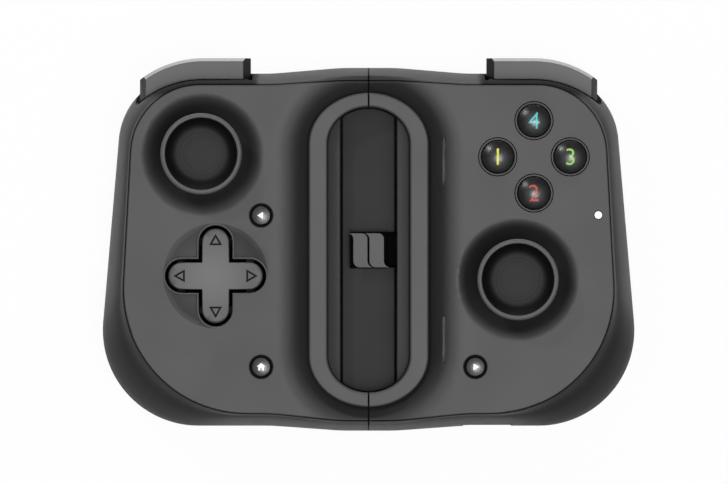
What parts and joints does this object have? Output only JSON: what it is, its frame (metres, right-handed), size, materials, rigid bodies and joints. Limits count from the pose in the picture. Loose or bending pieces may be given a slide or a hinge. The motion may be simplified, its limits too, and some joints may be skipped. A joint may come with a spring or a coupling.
{
  "type": "phone gamepad",
  "caption": "Closed two-halved phone gamepad: thumb sticks, cross pad, push buttons, shoulder keys and a raised rim; the halves slide apart on an elastic band to grip a phone.",
  "frame": {"origin": "centre of the base of the closed gamepad's box, on the surface it lies on", "axes": "+X to the player's right, +Y away from the player, +Z out of the front face"},
  "size_m": [0.139, 0.0971, 0.0433],
  "materials": {
    "grey_plastic": "fine matt grain",
    "shoulder_plastic": "satin",
    "black_gloss": "polished",
    "stick_rubber": "matt, soft touch",
    "pad_rubber": "matt",
    "dark_plastic": "satin",
    "key_silicone": "matt",
    "board_laminate": "solder mask",
    "steel": "plated",
    "strap_elastic": "ribbed elastic",
    "ribbon_film": "satin film",
    "light_pipe": "clear, lit white"
  },
  "bodies": {
    "bridge": {"bridge_cover": "dark_plastic", "bridge_frame": "dark_plastic", "bridge_screws": "steel", "left_strap": "strap_elastic", "right_strap": "strap_elastic", "flex_cable": "ribbon_film"},
    "left_latch": {"left_latch": "dark_plastic"},
    "right_latch": {"right_latch": "dark_plastic"},
    "left_half": {"left_faceplate": "grey_plastic", "left_back_shell": "grey_plastic", "left_bezel": "grey_plastic", "left_end_pad": "pad_rubber", "left_board": "board_laminate", "left_key_mat": "key_silicone", "left_shell_screws": "steel", "left_strap_anchor": "steel", "left_pivot_pins": "steel", "left_stick_housing": "steel", "left_stick_switch": "steel", "dpad_post": "dark_plastic"},
    "left_bumper": {"left_bumper": "shoulder_plastic"},
    "left_trigger": {"left_trigger": "shoulder_plastic"},
    "left_stick_yoke": {"left_stick_yoke": "dark_plastic"},
    "left_stick_rocker": {"left_stick_rocker": "dark_plastic"},
    "left_stick": {"left_stick_cap": "stick_rubber", "left_stick_shaft": "dark_plastic"},
    "right_half": {"right_faceplate": "grey_plastic", "right_back_shell": "grey_plastic", "right_bezel": "grey_plastic", "right_end_pad": "pad_rubber", "right_board": "board_laminate", "right_key_mat": "key_silicone", "right_shell_screws": "steel", "right_strap_anchor": "steel", "right_pivot_pins": "steel", "right_stick_housing": "steel", "right_stick_switch": "steel", "status_light": "light_pipe", "plug_shell": "steel", "plug_boot": "dark_plastic", "charge_port": "steel"},
    "right_bumper": {"right_bumper": "shoulder_plastic"},
    "right_trigger": {"right_trigger": "shoulder_plastic"},
    "right_stick_yoke": {"right_stick_yoke": "dark_plastic"},
    "right_stick_rocker": {"right_stick_rocker": "dark_plastic"},
    "right_stick": {"right_stick_cap": "stick_rubber", "right_stick_shaft": "dark_plastic"},
    "dpad_pivot": {"dpad_pivot": "steel"},
    "dpad": {"dpad": "black_gloss"},
    "back_button": {"back_button": "black_gloss"},
    "home_button": {"home_button": "black_gloss"},
    "menu_button": {"menu_button": "black_gloss"},
    "north_button": {"north_button": "black_gloss"},
    "east_button": {"east_button": "black_gloss"},
    "south_button": {"south_button": "black_gloss"},
    "west_button": {"west_button": "black_gloss"}
  },
  "joints": [
    {"name": "left_half_slide", "type": "slide", "parent": "bridge", "child": "left_half", "axis": [-1, 0, 0], "range_m": [0, 0.0744], "stiffness_N_per_m": 70, "springref_m": -0.03, "deforming": ["left_strap"]},
    {"name": "left_latch_slide", "type": "slide", "parent": "bridge", "child": "left_latch", "axis": [0, 1, 0], "range_m": [0, 0.003]},
    {"name": "left_stick_pitch", "type": "hinge", "parent": "left_half", "child": "left_stick_yoke", "pos_m": [-0.0433, 0.0236, 0.0234], "axis": [1, 0, 0], "range_deg": [-15, 15], "stiffness_Nm_per_rad": 0.05},
    {"name": "left_stick_roll", "type": "hinge", "parent": "left_stick_yoke", "child": "left_stick_rocker", "pos_m": [-0.0433, 0.0236, 0.0234], "axis": [0, 1, 0], "range_deg": [-15, 15], "stiffness_Nm_per_rad": 0.05},
    {"name": "left_stick_click", "type": "slide", "parent": "left_stick_rocker", "child": "left_stick", "axis": [0, 0, -1], "range_m": [0, 0.0005], "stiffness_N_per_m": 3000, "springref_m": -0.0003},
    {"name": "left_bumper_press", "type": "hinge", "parent": "left_half", "child": "left_bumper", "pos_m": [-0.0334, 0.0406, 0.022], "axis": [0, 0, 1], "range_deg": [0, 2], "stiffness_Nm_per_rad": 0.8, "springref_deg": -1.72},
    {"name": "left_trigger_pull", "type": "hinge", "parent": "left_half", "child": "left_trigger", "pos_m": [-0.045, 0.0392, 0.0132], "axis": [-1, 0, 0], "range_deg": [0, 15], "stiffness_Nm_per_rad": 0.08, "springref_deg": -8.59},
    {"name": "right_half_slide", "type": "slide", "parent": "bridge", "child": "right_half", "axis": [1, 0, 0], "range_m": [0, 0.0744], "stiffness_N_per_m": 70, "springref_m": -0.03, "deforming": ["right_strap"]},
    {"name": "right_latch_slide", "type": "slide", "parent": "bridge", "child": "right_latch", "axis": [0, 1, 0], "range_m": [0, 0.003]},
    {"name": "right_stick_pitch", "type": "hinge", "parent": "right_half", "child": "right_stick_yoke", "pos_m": [0.0386, -0.0089, 0.0234], "axis": [1, 0, 0], "range_deg": [-15, 15], "stiffness_Nm_per_rad": 0.05},
    {"name": "right_stick_roll", "type": "hinge", "parent": "right_stick_yoke", "child": "right_stick_rocker", "pos_m": [0.0386, -0.0089, 0.0234], "axis": [0, 1, 0], "range_deg": [-15, 15], "stiffness_Nm_per_rad": 0.05},
    {"name": "right_stick_click", "type": "slide", "parent": "right_stick_rocker", "child": "right_stick", "axis": [0, 0, -1], "range_m": [0, 0.0005], "stiffness_N_per_m": 3000, "springref_m": -0.0003},
    {"name": "right_bumper_press", "type": "hinge", "parent": "right_half", "child": "right_bumper", "pos_m": [0.0334, 0.0406, 0.022], "axis": [0, 0, -1], "range_deg": [0, 2], "stiffness_Nm_per_rad": 0.8, "springref_deg": -1.72},
    {"name": "right_trigger_pull", "type": "hinge", "parent": "right_half", "child": "right_trigger", "pos_m": [0.045, 0.0392, 0.0132], "axis": [-1, 0, 0], "range_deg": [0, 15], "stiffness_Nm_per_rad": 0.08, "springref_deg": -8.59},
    {"name": "dpad_pitch", "type": "hinge", "parent": "left_half", "child": "dpad_pivot", "pos_m": [-0.0397, -0.008, 0.0285], "axis": [1, 0, 0], "range_deg": [-4, 4], "stiffness_Nm_per_rad": 0.12},
    {"name": "dpad_roll", "type": "hinge", "parent": "dpad_pivot", "child": "dpad", "pos_m": [-0.0397, -0.008, 0.0285], "axis": [0, 1, 0], "range_deg": [-4, 4], "stiffness_Nm_per_rad": 0.12},
    {"name": "north_button_press", "type": "slide", "parent": "right_half", "child": "north_button", "axis": [0, 0, -1], "range_m": [0, 0.0012], "stiffness_N_per_m": 450, "springref_m": -0.0008},
    {"name": "east_button_press", "type": "slide", "parent": "right_half", "child": "east_button", "axis": [0, 0, -1], "range_m": [0, 0.0012], "stiffness_N_per_m": 450, "springref_m": -0.0008},
    {"name": "south_button_press", "type": "slide", "parent": "right_half", "child": "south_button", "axis": [0, 0, -1], "range_m": [0, 0.0012], "stiffness_N_per_m": 450, "springref_m": -0.0008},
    {"name": "west_button_press", "type": "slide", "parent": "right_half", "child": "west_button", "axis": [0, 0, -1], "range_m": [0, 0.0012], "stiffness_N_per_m": 450, "springref_m": -0.0008},
    {"name": "back_button_press", "type": "slide", "parent": "left_half", "child": "back_button", "axis": [0, 0, -1], "range_m": [0, 0.0006], "stiffness_N_per_m": 900, "springref_m": -0.0006},
    {"name": "home_button_press", "type": "slide", "parent": "left_half", "child": "home_button", "axis": [0, 0, -1], "range_m": [0, 0.0006], "stiffness_N_per_m": 900, "springref_m": -0.0006},
    {"name": "menu_button_press", "type": "slide", "parent": "right_half", "child": "menu_button", "axis": [0, 0, -1], "range_m": [0, 0.0006], "stiffness_N_per_m": 900, "springref_m": -0.0006}
  ]
}
